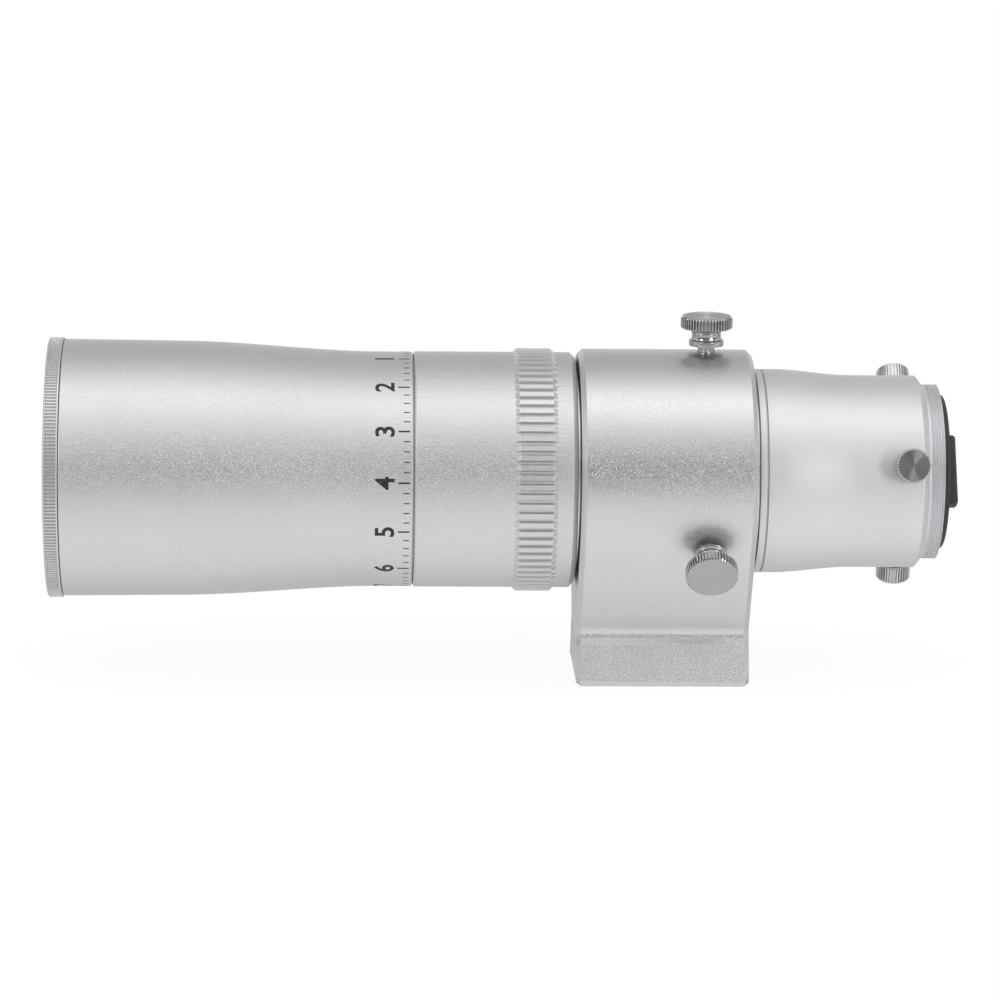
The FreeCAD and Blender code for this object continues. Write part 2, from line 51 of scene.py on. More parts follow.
MM = 0.001
EDGE = 0.12                 # rounding of an edge that is only broken
FINE = 256                  # steps round a plain turned piece
CURVE_STEPS = 4             # steps along the rounding of a corner
SHARP_ANGLE = math.radians(34)
HOLE_MARGIN = 0.8           # a mesh is divided this far before and after a row of holes
FAR = 1e9                   # a limit that is never reached
TINY = 1e-6


def span(node):
    """First and last x of a CAD node, in millimetres."""
    low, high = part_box(node)
    return low.x / MM, high.x / MM


def half_height(node):
    """Outer radius of a CAD node that is turned about the tube axis, in millimetres."""
    low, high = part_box(node)
    return (high.z - low.z) / 2 / MM


def middle(node, axis):
    """Middle of a CAD node along "x" or "z", in millimetres."""
    low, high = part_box(node)
    return (getattr(low, axis) + getattr(high, axis)) / 2 / MM


AXIS = middle("main_tube", "z")


# ---------------------------------------------------------------- mesh helpers

def curve_point(first, corner, last, t):
    """The point at share t of a curve that leaves first and reaches last, drawn to the corner."""
    return first * (1 - t) ** 2 + corner * 2 * t * (1 - t) + last * t ** 2


def softened(outline, closed):
    """The outline's points, with each corner that has a rounding turned into a short curve."""
    points = []
    count = len(outline)
    for place, corner in enumerate(outline):
        here = Vector(corner[:2])
        rounding = corner[2] if len(corner) > 2 else 0
        at_end = not closed and place in (0, count - 1)
        if not rounding or at_end:
            points.append(here)
            continue
        before = Vector(outline[place - 1][:2]) - here
        after = Vector(outline[(place + 1) % count][:2]) - here
        reach = min(rounding, before.length * 0.45, after.length * 0.45)
        first = here + before.normalized() * reach
        last = here + after.normalized() * reach
        points += [curve_point(first, here, last, step / CURVE_STEPS) for step in range(CURVE_STEPS + 1)]
    return [(p.x, p.y) for p in points]


def swell(x0, r0, x1, r1, count=24):
    """A smooth S-shaped run from one radius to another."""
    run = []
    for step in range(count + 1):
        t = step / count
        run.append((x0 + (x1 - x0) * t, r0 + (r1 - r0) * t * t * (3 - 2 * t)))
    return run


def even_run(x0, x1, radius, count):
    """A straight run in even steps, for a thread to be cut into."""
    return [(x0 + (x1 - x0) * step / count, radius) for step in range(count + 1)]


def even_angles(count):
    """Angles in radians that divide a full turn evenly."""
    return [2 * math.pi * step / count for step in range(count)]


class Ribs:
    """Straight ribs round a turned piece. form gives (share of the pitch, share of the depth)."""

    def __init__(self, count, form, tip, root, x0=-FAR, x1=FAR):
        self.count, self.form, self.tip, self.root = count, form, tip, root
        self.x0, self.x1 = x0, x1

    def angles(self):
        pitch = 2 * math.pi / self.count
        return [pitch * (rib + share) for rib in range(self.count) for share, _ in self.form]

    def limit(self, x, angle):
        if not self.x0 < x < self.x1:
            return FAR
        share = (angle * self.count / (2 * math.pi) + TINY) % 1.0
        depth = [depth for place, depth in self.form if place <= share + 1e-4][-1]
        return self.tip - (self.tip - self.root) * depth


class Thread:
    """A helical thread cut into a turned piece, fading out at each end.

    Crest and root are flat over about a ninth of the pitch. A soft thread is a plain wave instead."""

    def __init__(self, x0, x1, pitch, depth, major, soft=False):
        self.x0, self.x1, self.pitch, self.depth, self.major = x0, x1, pitch, depth, major
        self.soft = soft

    def angles(self):
        return even_angles(FINE)

    def limit(self, x, angle):
        if not self.x0 < x < self.x1:
            return FAR
        phase = ((x - self.x0) / self.pitch - angle / (2 * math.pi)) % 1.0
        if self.soft:
            valley = (1 - math.cos(2 * math.pi * phase)) / 2
        else:
            valley = max(0.0, 1.15 - abs(phase - 0.5) * 2.6)
        run_out = self.pitch * 0.4
        fade = min(1.0, (x - self.x0) / run_out, (self.x1 - x) / run_out)
        return self.major - self.depth * min(1.0, valley) * fade


def new_object(name, verts, faces):
    mesh = bpy.data.meshes.new(name)
    mesh.from_pydata([(x * MM, y * MM, z * MM) for x, y, z in verts], [], faces)
    mesh.validate()
    mesh.shade_smooth()
    mesh.set_sharp_from_angle(angle=SHARP_ANGLE)
    obj = bpy.data.objects.new(name, mesh)
    bpy.context.scene.collection.objects.link(obj)
    return obj


def weigh_normals(obj):
    """Keeps broad faces flat in shading, so that only the rounded edges turn."""
    modifier = obj.modifiers.new("normals", "WEIGHTED_NORMAL")
    modifier.keep_sharp = True
    modifier.weight = 90
    apply_modifiers(obj)


def apply_modifiers(obj):
    graph = bpy.context.evaluated_depsgraph_get()
    mesh = bpy.data.meshes.new_from_object(obj.evaluated_get(graph), depsgraph=graph)
    obj.modifiers.clear()
    obj.data = mesh


def lathe(name, outline, cut=None, closed=True):
    """Turns an outline about the local X axis. An open outline starts and ends on the axis."""
    profile = softened(outline, closed)
    angles = cut.angles() if cut else even_angles(FINE)
    count = len(angles)
    verts, rows = [], []
    for x, radius in profile:
        if radius < TINY:
            rows.append([len(verts)] * count)
            verts.append((x, 0, 0))
            continue
        rows.append(list(range(len(verts), len(verts) + count)))
        for angle in angles:
            r = min(radius, cut.limit(x, angle)) if cut else radius
            verts.append((x, r * math.cos(angle), r * math.sin(angle)))
    pairs = list(zip(rows, rows[1:])) + ([(rows[-1], rows[0])] if closed else [])
    faces = []
    for lower, upper in pairs:
        for step in range(count):
            following = (step + 1) % count
            ring = (lower[step], lower[following], upper[following], upper[step])
            face = [v for place, v in enumerate(ring) if v != ring[place - 1]]
            if len(face) > 2:
                faces.append(face)
    obj = new_object(name, verts, faces)
    weigh_normals(obj)
    return obj


def on_tube_axis(obj):
    """Places a piece turned about the local X axis on the tube's axis."""
    obj.matrix_world = Matrix.Translation((0, 0, AXIS * MM))
    return obj


def out_of_axis(obj, x, angle):
    """Places a piece made along +X from the origin so that it points out of the tube at x."""
    turn = Matrix.Rotation(math.radians(90 - angle), 4, "X") @ Matrix.Rotation(-math.pi / 2, 4, "Y")
    obj.matrix_world = Matrix.Translation((x * MM, 0, AXIS * MM)) @ turn
    return obj


def slice_across(mesh, places):
    """Adds edges across a mesh at each local x, in millimetres."""
    shape = bmesh.new()
    shape.from_mesh(mesh)
    for x in places:
        everything = shape.verts[:] + shape.edges[:] + shape.faces[:]
        bmesh.ops.bisect_plane(shape, geom=everything, plane_co=(x * MM, 0, 0), plane_no=(1, 0, 0))
    shape.to_mesh(mesh)
    shape.free()


def drilled(obj, x, angles, radius, near, far):
    """Cuts a round hole at each angle, between two distances from the tube axis."""
    slice_across(obj.data, (x - radius - HOLE_MARGIN, x + radius + HOLE_MARGIN))
    for angle in angles:
        drill = lathe("drill", [(near, 0), (near, radius), (far, radius), (far, 0)], closed=False)
        out_of_axis(drill, x, angle)
        cut = obj.modifiers.new("hole", "BOOLEAN")
        cut.object = drill
        cut.solver = "EXACT"
        apply_modifiers(obj)
        bpy.data.objects.remove(drill)
    obj.data.shade_smooth()
    obj.data.set_sharp_from_angle(angle=SHARP_ANGLE)
    weigh_normals(obj)


def finish_piece(obj, material, body, slot, *nodes):
    """Gives a piece its material and body, and hides the CAD nodes that it replaces. The slot is not
    used.
    """
    obj.data.materials.clear()
    obj.data.materials.append(material)
    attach(obj, body)
    if nodes:
        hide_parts(*nodes)


# ---------------------------------------------------------------- materials

class Graph:
    """A short way to write a material's nodes."""

    def __init__(self, name):
        self.material = bpy.data.materials.new(name)
        self.material.use_nodes = True
        self.tree = self.material.node_tree
        self.shader = self.tree.nodes["Principled BSDF"]
        self.place = self.add("ShaderNodeTexCoord").outputs["Object"]

    def add(self, kind, **settings):
        node = self.tree.nodes.new(kind)
        for key, value in settings.items():
            if key in node.inputs:
                node.inputs[key].default_value = value
            else:
                setattr(node, key, value)
        return node

    def link(self, output, target):
        self.tree.links.new(output, target)

    def noise(self, scale, detail=2.0, roughness=0.5):
        node = self.add("ShaderNodeTexNoise", Scale=scale, Detail=detail, Roughness=roughness)
        self.link(self.place, node.inputs["Vector"])
        return node.outputs["Fac"]

    def spread(self, value, low, high, from_low=0.3, from_high=0.7):
        """The value, stretched so that from_low becomes low and from_high becomes high."""
        node = self.add("ShaderNodeMapRange")
        node.inputs["From Min"].default_value = from_low
        node.inputs["From Max"].default_value = from_high
        node.inputs["To Min"].default_value = low
        node.inputs["To Max"].default_value = high
        self.link(value, node.inputs["Value"])
        return node.outputs["Result"]

    def parts(self, vector):
        """X, Y and Z of a vector."""
        node = self.add("ShaderNodeSeparateXYZ")
        self.link(vector, node.inputs["Vector"])
        return node.outputs

    def sum(self, first, second):
        node = self.add("ShaderNodeMath", operation="ADD")
        self.link(first, node.inputs[0])
        self.link(second, node.inputs[1])
        return node.outputs["Value"]

    def drive(self, socket, value):
        """Links a value to one of the shader's own sockets."""
        self.link(value, self.shader.inputs[socket])

    def colours(self, value, dark, light):
        node = self.add("ShaderNodeMix", data_type="RGBA")
        node.inputs["A"].default_value = (*dark, 1)
        node.inputs["B"].default_value = (*light, 1)
        self.link(value, node.inputs["Factor"])
        for output in node.outputs:
            if output.type == "RGBA":
                return output

    def bump(self, height, distance, strength=1.0):
        node = self.add("ShaderNodeBump", Strength=strength, Distance=distance)
        self.link(height, node.inputs["Height"])
        previous = self.shader.inputs["Normal"]
        if previous.is_linked:
            self.link(previous.links[0].from_socket, node.inputs["Normal"])
        self.link(node.outputs["Normal"], previous)


# How fine a texture is, in features per metre
BEAD_SCALE = 3700           # marks of the blasting beads
TURNING_SCALE = 2600        # traces of the lathe tool
PLASTIC_SCALE = 3200        # moulded grain
INK_SCALE = 3600
RUBBER_SCALE = 1800
NYLON_SCALE = 1800
SMUDGE_SCALE = 700          # faint wear and handling
DUST_SCALE = 500            # greyer patches on black pieces
CLOUD_SCALE = 60            # broad uneven patches of anodising
SMEAR_SCALE = 40            # smears on glass

FOOT_FADE_M = (0.010, 0.012)        # heights between which the foot's rougher finish ends


def darker(colour, share):
    return tuple(c * share for c in colour)


def blasted_aluminium(name, grain, roughness, tint=(0.645, 0.648, 0.662), foot_extra=0.0):
    """Bead-blasted and clear anodised: a fine even sparkle, and a few faint cloudy patches.

    foot_extra is how much rougher the metal is near the ground, where the foot is machined."""
    g = Graph(name)
    g.shader.inputs["Metallic"].default_value = 1.0
    cloud = g.noise(CLOUD_SCALE, 3.0, 0.5)
    g.drive("Base Color", g.colours(g.spread(cloud, 0, 1), darker(tint, 0.97), tint))
    beads = g.add("ShaderNodeTexVoronoi", Scale=BEAD_SCALE)
    g.link(g.place, beads.inputs["Vector"])
    bead = g.add("ShaderNodeSeparateColor")
    g.link(beads.outputs["Color"], bead.inputs["Color"])
    gloss = g.spread(bead.outputs["Red"], roughness * 0.98, roughness * 1.06, 0, 1)
    if foot_extra:
        height = g.parts(g.place)["Z"]
        gloss = g.sum(gloss, g.spread(height, foot_extra, 0.0, *FOOT_FADE_M))
    g.drive("Roughness", gloss)
    dimples = g.spread(g.noise(BEAD_SCALE, 1.0, 0.6), 0, 1, 0.50, 0.71)
    g.bump(dimples, grain * MM)
    return g.material


def turned_metal(name, colour, roughness, face_roughness, painted_face_shade=0.85):
    """Lathe-turned metal: bright sides, and faces whose fine rings spread the light into wedges. The
    faces' colour is darkened as a painted shade, and faint random smudges tint the sides a little
    towards that darker colour.
    """
    g = Graph(name)
    g.shader.inputs["Metallic"].default_value = 1.0
    g.shader.inputs["Anisotropic"].default_value = 0.95
    tangent = g.add("ShaderNodeTangent", direction_type="RADIAL", axis="X")
    g.link(tangent.outputs["Tangent"], g.shader.inputs["Tangent"])
    along = g.add("ShaderNodeMath", operation="ABSOLUTE")
    g.link(g.parts(g.add("ShaderNodeTexCoord").outputs["Normal"])["X"], along.inputs[0])
    face = g.spread(along.outputs["Value"], 0, 1, 0.7, 0.95)
    g.drive("Roughness", g.spread(face, roughness, face_roughness, 0, 1))
    # Painted shade: the end faces' colour is darker, mixed with faint random smudges on the sides
    painted_shade_and_smudges = g.sum(face, g.spread(g.noise(SMUDGE_SCALE), 0, 0.2))
    g.drive("Base Color", g.colours(painted_shade_and_smudges, colour, darker(colour, painted_face_shade)))
    g.bump(g.noise(TURNING_SCALE, 1.0), 0.004 * MM, 0.3)
    return g.material


def matt_black(name, roughness, grain=TURNING_SCALE, colour=(0.012, 0.012, 0.013)):
    """Black with a fine grain and greyer patches."""
    g = Graph(name)
    grey = tuple(c * 2.2 for c in colour)
    g.drive("Base Color", g.colours(g.spread(g.noise(DUST_SCALE), 0, 1), colour, grey))
    g.drive("Roughness", g.spread(g.noise(grain), roughness * 0.85, roughness * 1.15))
    g.bump(g.noise(grain), 0.03 * MM, 0.5)
    return g.material


def optical_glass():
    """Clear glass with a green-blue coating, slightly smeared."""
    g = Graph("optical_glass")
    g.shader.inputs["Transmission Weight"].default_value = 1.0
    g.shader.inputs["IOR"].default_value = 1.52
    g.shader.inputs["Coat Weight"].default_value = 0.6
    g.shader.inputs["Coat Tint"].default_value = (0.45, 0.9, 0.75, 1)
    smear = g.noise(SMEAR_SCALE, 3.0)
    g.drive("Roughness", g.spread(smear, 0.004, 0.02))
    g.drive("Base Color", g.colours(g.spread(smear, 0, 1), (0.90, 0.97, 0.95), (0.94, 0.99, 0.98)))
    return g.material


def plain_nylon():
    g = Graph("nylon")
    g.shader.inputs["Subsurface Weight"].default_value = 0.2
    g.shader.inputs["Subsurface Radius"].default_value = (0.001, 0.001, 0.001)
    g.drive("Base Color", g.colours(g.noise(SMUDGE_SCALE), (0.74, 0.73, 0.68), (0.84, 0.83, 0.79)))
    g.drive("Roughness", g.spread(g.noise(NYLON_SCALE), 0.45, 0.6))
    return g.material


SILVER = blasted_aluminium("silver_blasted", 0.028, 0.385)
SILVER_BRACKET = blasted_aluminium("silver_bracket", 0.028, 0.285, foot_extra=0.09)
# The holder material's lighter tint is painted light, lifting the dim band that these pieces mirror at
# eye level
SILVER_HOLDER = blasted_aluminium("silver_holder", 0.008, 0.50, (0.71, 0.716, 0.73))
# Turned metals darken the colour of their end faces as a painted shade: by default to 0.85, the small
# screws to 0.42
BRIGHT = turned_metal("bright_turned", (0.80, 0.80, 0.81), 0.24, 0.26)
STEEL = turned_metal("stainless_steel", (0.48, 0.47, 0.46), 0.12, 0.24)
SMALL_STEEL = turned_metal("small_screw_steel", (0.60, 0.59, 0.58), 0.13, 0.36, 0.42)
BRASS = turned_metal("brass", (0.83, 0.62, 0.28), 0.22, 0.26)
BLACK_METAL = matt_black("black_anodised", 0.45)
BLACK_PLASTIC = matt_black("black_plastic", 0.42, PLASTIC_SCALE)
RUBBER = matt_black("black_rubber", 0.7, RUBBER_SCALE, (0.015, 0.015, 0.015))
INK = matt_black("black_ink", 0.55, INK_SCALE, (0.010, 0.010, 0.012))
GLASS = optical_glass()
NYLON = plain_nylon()

NODE_MATERIALS = {
    BRIGHT: ("main_tube", "helicoid_tube"),
    SILVER: ("front_cap", "objective_barrel", "focus_ring"),
    SILVER_HOLDER: ("tube_end_ring", "nosepiece_holder"),
    SILVER_BRACKET: ("bracket",),
    STEEL: (
        "aim_screw_top", "aim_screw_front", "aim_screw_back", "guide_key", "guide_key_screws",
    ),
    SMALL_STEEL: ("clamp_screw_front", "clamp_screw_top", "clamp_screw_bottom"),
    BLACK_METAL: (
        "lens_cell", "lens_spacer", "lens_retainer", "focus_lock_ring", "baffle_front", "baffle_middle",
        "baffle_rear",
    ),
    GLASS: ("crown_lens", "flint_lens"),
    BLACK_PLASTIC: ("dust_plug",),
    NYLON: (
        "thrust_washer_front", "thrust_washer_rear", "aim_screw_tip_top", "aim_screw_tip_front",
        "aim_screw_tip_back",
    ),
    RUBBER: ("o_ring",),
    BRASS: ("compression_ring",),
}


def dress_nodes():
    """Gives each CAD node its material, for the pieces that stay as the CAD made them."""
    for material, nodes in NODE_MATERIALS.items():
        for node in nodes:
            mesh_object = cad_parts[node]
            if not mesh_object.material_slots:
                mesh_object.data.materials.append(material)
            for slot in mesh_object.material_slots:
                slot.material = material


# ---------------------------------------------------------------- turned pieces

BARREL_FRONT, BARREL_REAR = span("objective_barrel")
RING_FRONT, RING_REAR = span("focus_ring")
HELICOID_FRONT, HELICOID_REAR = span("helicoid_tube")
HELICOID_RADIUS = half_height("helicoid_tube")
BARREL_FRONT_RADIUS = half_height("objective_barrel")
BARREL_REAR_RADIUS = 28.15
BARREL_BORE = half_height("lens_cell") + 0.02
CELL_FRONT, CELL_REAR = span("lens_cell")

SLIDING_GAP = 0.1           # radial room between tubes that slide or turn
TURNED_CHAMFER = 0.45       # at the joint between barrel and focus ring
HELICOID_PITCH = 1.5
HELICOID_PLAIN = 14.5       # length inside the barrel that is drawn without its thread
FLANGE_STEP = 3.15          # how far the main tube's thrust flange stands out of the tube
SLEEVE_STEP = 0.9           # how far the grip band stands out of the focus ring's sleeve
GRIP_FRONT, GRIP_REAR, GRIP_SLOPE = -36.3, -26.4, 0.95
GRIP_RIBS = 78
CAP_TEETH = 228
CAP_KNURL_DEPTH = 0.45
CAP_RECESS, CAP_RECESS_DEPTH = 25.6, 0.8        # the dished front face
CAP_WALL = 1.6
FLARE_FRONT, FLARE_REAR = -116.0, -68.0         # where the barrel narrows
FLARE_RADIUS = 30.47
CELL_SEAT = 26.8            # radius that the barrel narrows to behind the lens cell

# Forms of ribs and knurls over one pitch: (share of the pitch, share of the depth)
FINE_KNURL = ((0, 0), (0.25, 0), (0.5, 1), (0.75, 1))
SCREW_KNURL = ((0, 0), (0.38, 0), (0.55, 1), (0.83, 1))
GRIP_FORM = (
    (0, 0.1), (0.03, 0), (0.53, 0), (0.56, 0.1), (0.63, 0.92), (0.66, 1), (0.90, 1), (0.93, 0.92),
)


def front_cap():
    """A shallow dish with a knurled rim, and a spigot that sits in the barrel's bore."""
    front, rear = span("front_cap")
    tip = half_height("front_cap")
    rim_rear = BARREL_FRONT - 0.1
    knurl_front, knurl_rear = front + 0.4, rim_rear - 0.4
    spigot = BARREL_BORE - 0.2
    outline = [
        (front + CAP_RECESS_DEPTH, 0),
        (front + CAP_RECESS_DEPTH, CAP_RECESS, 0.5),
        (front, CAP_RECESS + 1.0, 0.3),
        (front, tip - 0.35, 0.1),
        (front + 0.3, tip, 0.05),
        (knurl_front, tip),
        (knurl_front + EDGE, tip),
        (knurl_rear - EDGE, tip),
        (knurl_rear, tip),
        (rim_rear, tip, 0.25),
        (rim_rear, spigot),
        (rear, spigot, 0.3),
        (rear, spigot - CAP_WALL, 0.3),
        (BARREL_FRONT, spigot - CAP_WALL),
        (BARREL_FRONT, 0),
    ]
    root = tip - CAP_KNURL_DEPTH
    ribs = Ribs(CAP_TEETH, FINE_KNURL, tip, root, knurl_front + EDGE / 2, knurl_rear - EDGE / 2)
    cap = on_tube_axis(lathe("cap_shell", outline, ribs, closed=False))
    finish_piece(cap, SILVER, "cap", "silver_aluminium", "front_cap")


def objective_barrel():
    """The flared barrel with its dew shield, and the black lining that the dew shield has inside."""
    thread_land = HELICOID_RADIUS + 0.02
    outline = [
        (BARREL_FRONT, BARREL_FRONT_RADIUS, 0.3),
        *swell(FLARE_FRONT, FLARE_RADIUS, FLARE_REAR, BARREL_REAR_RADIUS, 40),
        (BARREL_REAR - TURNED_CHAMFER, BARREL_REAR_RADIUS, 0.08),
        (BARREL_REAR, BARREL_REAR_RADIUS - TURNED_CHAMFER, 0.08),
        (BARREL_REAR, thread_land),
        (HELICOID_FRONT, thread_land),
        (HELICOID_FRONT, thread_land - 1.0),
        (CELL_REAR, CELL_SEAT),
        (CELL_REAR, BARREL_BORE),
        (BARREL_FRONT, BARREL_BORE, 0.25),
    ]
    barrel = on_tube_axis(lathe("barrel_shell", outline))
    finish_piece(barrel, SILVER, "barrel", "silver_aluminium", "objective_barrel")
    front, rear = span("front_cap")[1] + 0.3, CELL_FRONT - 0.1
    outer, inner = BARREL_BORE - 0.01, BARREL_BORE - 0.12
    lining = lathe("dew_shield_lining", [(front, outer), (rear, outer), (rear, inner), (front, inner)])
    finish_piece(on_tube_axis(lining), BLACK_METAL, "barrel", "black_aluminium")


def helicoid():
    """The helicoid tube with its thread, which shows when the barrel is racked out."""
    bore = half_height("main_tube") - FLANGE_STEP + SLIDING_GAP
    start, end = HELICOID_FRONT + HELICOID_PLAIN, HELICOID_REAR - 0.5
    thread = Thread(start, end, HELICOID_PITCH, 0.4, HELICOID_RADIUS, soft=True)
    outline = [
        (HELICOID_FRONT, HELICOID_RADIUS, 0.2),
        *even_run(start, end, HELICOID_RADIUS, 280),
        (HELICOID_REAR, HELICOID_RADIUS, 0.3),
        (HELICOID_REAR, bore, 0.2),
        (HELICOID_FRONT, bore, 0.2),
    ]
    piece = on_tube_axis(lathe("helicoid_thread", outline, thread))
    finish_piece(piece, BRIGHT, "barrel", "bright_aluminium", "helicoid_tube")


def focus_ring():
    """A smooth sleeve with a raised ribbed band, and a pocket for the thrust flange in its rear."""
    tip = half_height("focus_ring")
    sleeve = tip - SLEEVE_STEP
    bore = HELICOID_RADIUS + SLIDING_GAP
    pocket, pocket_front = 26.6, -30.9
    rear_chamfer = 1.2
    outline = [
        (RING_FRONT, bore, 0.2),
        (RING_FRONT, sleeve - 0.4, 0.08),
        (RING_FRONT + 0.4, sleeve, 0.08),
        (GRIP_FRONT, sleeve),
        (GRIP_FRONT + GRIP_SLOPE, tip, 0.1),
        (GRIP_REAR - GRIP_SLOPE, tip, 0.1),
        (GRIP_REAR, sleeve),
        (RING_REAR - rear_chamfer, sleeve, 0.1),
        (RING_REAR, sleeve - rear_chamfer, 0.1),
        (RING_REAR, pocket, 0.1),
        (pocket_front, pocket),
        (pocket_front, bore),
    ]
    ribs = Ribs(GRIP_RIBS, GRIP_FORM, tip, sleeve + EDGE, GRIP_FRONT + 0.01, GRIP_REAR - 0.01)
    ring = on_tube_axis(lathe("focus_sleeve", outline, ribs))
    finish_piece(ring, SILVER, "focus_ring", "silver_aluminium", "focus_ring")


def tube_end_ring():
    """The narrow ring between the bracket and the nosepiece holder."""
    front, rear = span("tube_end_ring")
    outer = half_height("tube_end_ring")
    bore = 21.92
    outline = [(front, bore), (front, outer, 0.3), (rear, outer, 0.2), (rear, bore)]
    collar = on_tube_axis(lathe("tube_end_collar", outline))
    finish_piece(collar, SILVER_HOLDER, "tube", "silver_aluminium", "tube_end_ring")


# Screws: the angle of each, the radii of shank and hole, and how far each reaches from the axis
AIM_SCREW_X = middle("aim_screw_top", "x")
AIM_ANGLES = {"top": 90.0, "front": -30.0, "back": 210.0}
AIM_SHANK = 1.97
AIM_HOLE = 2.08
AIM_HEAD = 6.2
AIM_COLLAR = 4.15
AIM_TEETH, AIM_KNURL_DEPTH = 50, 0.5
AIM_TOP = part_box("aim_screw_top")[1].z / MM - AXIS
CLAMP_SCREW_X = middle("clamp_screw_front", "x")
CLAMP_ANGLES = {"front": 14.6, "top": 134.6, "bottom": -105.4}
CLAMP_SHANK = 1.45
CLAMP_HOLE = 1.58
CLAMP_HEAD = 4.15
CLAMP_TEETH, CLAMP_KNURL_DEPTH = 36, 0.42
CLAMP_START, CLAMP_SEAT, CLAMP_END = 17.5, 24.5, 28.9

HOLDER_FRONT, HOLDER_REAR = span("nosepiece_holder")
HOLDER_RADIUS = half_height("nosepiece_holder")
HOLDER_SLIM_RADIUS = 23.1
HOLDER_BORE = 15.9
TAPER_FRONT, TAPER_REAR = 26.5, 45.0            # where the holder narrows
SOCKET_RADIUS, SOCKET_END = 21.95, 31.1         # takes the main tube's spigot
GROOVE_RADIUS = 17.5                            # takes the compression ring
GROOVE_FRONT, GROOVE_REAR = 54.4, 59.6
THREAD_START = 62.1
THREAD_RADIUS = 21.0
THREAD_PITCH = 0.75


def nosepiece_holder():
    """The tapered rear end, with its male thread, three screw holes and a groove in its bore."""
    start, end = THREAD_START + 0.25, HOLDER_REAR - 0.1
    thread = Thread(start, end, THREAD_PITCH, 0.42, THREAD_RADIUS)
    seam, seam_radius = 0.35, 23.9
    outline = [
        (HOLDER_FRONT, SOCKET_RADIUS),
        (HOLDER_FRONT, seam_radius),
        (HOLDER_FRONT + seam, seam_radius),
        (HOLDER_FRONT + seam, HOLDER_RADIUS, 0.2),
        *swell(TAPER_FRONT, HOLDER_RADIUS, TAPER_REAR, HOLDER_SLIM_RADIUS),
        (THREAD_START - 1.6, HOLDER_SLIM_RADIUS, 0.25),
        (THREAD_START, THREAD_RADIUS, 0.1),
        *even_run(start, end, THREAD_RADIUS, 96),
        (HOLDER_REAR, THREAD_RADIUS - 0.4),
        (HOLDER_REAR, HOLDER_BORE, 0.3),
        (GROOVE_REAR, HOLDER_BORE),
        (GROOVE_REAR, GROOVE_RADIUS),
        (GROOVE_FRONT, GROOVE_RADIUS),
        (GROOVE_FRONT, HOLDER_BORE),
        (SOCKET_END, HOLDER_BORE),
        (SOCKET_END, SOCKET_RADIUS),
    ]
    holder = on_tube_axis(lathe("holder_body", outline, thread))
    drilled(holder, CLAMP_SCREW_X, CLAMP_ANGLES.values(), CLAMP_HOLE, HOLDER_BORE - 1, HOLDER_RADIUS + 1)
    finish_piece(holder, SILVER_HOLDER, "tube", "silver_aluminium", "nosepiece_holder")


# ---------------------------------------------------------------- screws and plug

def aim_screw(side, angle):
    """A thumbscrew from its nylon tip outwards: shank, collar, waist and knurled head."""
    head = AIM_HEAD
    tip_gap = 0.05 if side == "top" else 0.25
    tube_radius = half_height("o_ring") - 1.6
    tip_length = 1.7
    start = tube_radius + tip_gap + tip_length
    outline = [
        (start, 0),
        (start, AIM_SHANK, 0.3),
        (AIM_TOP - 7.7, AIM_SHANK),
        (AIM_TOP - 7.25, AIM_COLLAR, 0.12),
        (AIM_TOP - 6.0, AIM_COLLAR, 0.15),
        (AIM_TOP - 5.75, 3.6, 0.2),
        (AIM_TOP - 4.6, 3.4, 0.6),
        (AIM_TOP - 3.6, 3.75, 0.4),
        (AIM_TOP - 3.2, 4.6, 0.3),
        (AIM_TOP - 3.15, head - 0.45, 0.1),
        (AIM_TOP - 2.8, head, 0.1),
        (AIM_TOP - 0.55, head, 0.1),
        (AIM_TOP - 0.12, head - 0.45, 0.15),
        (AIM_TOP - 0.05, head - 2.2, 0.3),
        (AIM_TOP, 0),
    ]
    ribs = Ribs(AIM_TEETH, SCREW_KNURL, head, head - AIM_KNURL_DEPTH)
    name = "aim_screw_" + side
    screw = out_of_axis(lathe(name + "_turned", outline, ribs, closed=False), AIM_SCREW_X, angle)
    finish_piece(screw, STEEL, name, "stainless_steel", name)


def clamp_screw(side, angle):
    """A small thumbscrew from its end outwards: shank, shoulder and knurled head."""
    head, shoulder = CLAMP_HEAD, 2.6
    outline = [
        (CLAMP_START, 0),
        (CLAMP_START, CLAMP_SHANK, 0.25),
        (CLAMP_SEAT - 1.0, CLAMP_SHANK),
        (CLAMP_SEAT - 1.0, shoulder, 0.15),
        (CLAMP_SEAT, shoulder),
        (CLAMP_SEAT, head - 0.35, 0.1),
        (CLAMP_SEAT + 0.35, head, 0.1),
        (CLAMP_END - 0.4, head, 0.1),
        (CLAMP_END, head - 0.4, 0.12),
        (CLAMP_END, 0),
    ]
    ribs = Ribs(CLAMP_TEETH, SCREW_KNURL, head, head - CLAMP_KNURL_DEPTH)
    name = "clamp_screw_" + side
    screw = out_of_axis(lathe(name + "_turned", outline, ribs, closed=False), CLAMP_SCREW_X, angle)
    finish_piece(screw, SMALL_STEEL, name, "stainless_steel", name)


PLUG_WALL = 1.8
PLUG_GRIP = (17.8, 4.0)             # length and thickness of the bar that it is pulled out by
PLUG_TURN = math.radians(-33)       # the plug is pushed in at no special angle


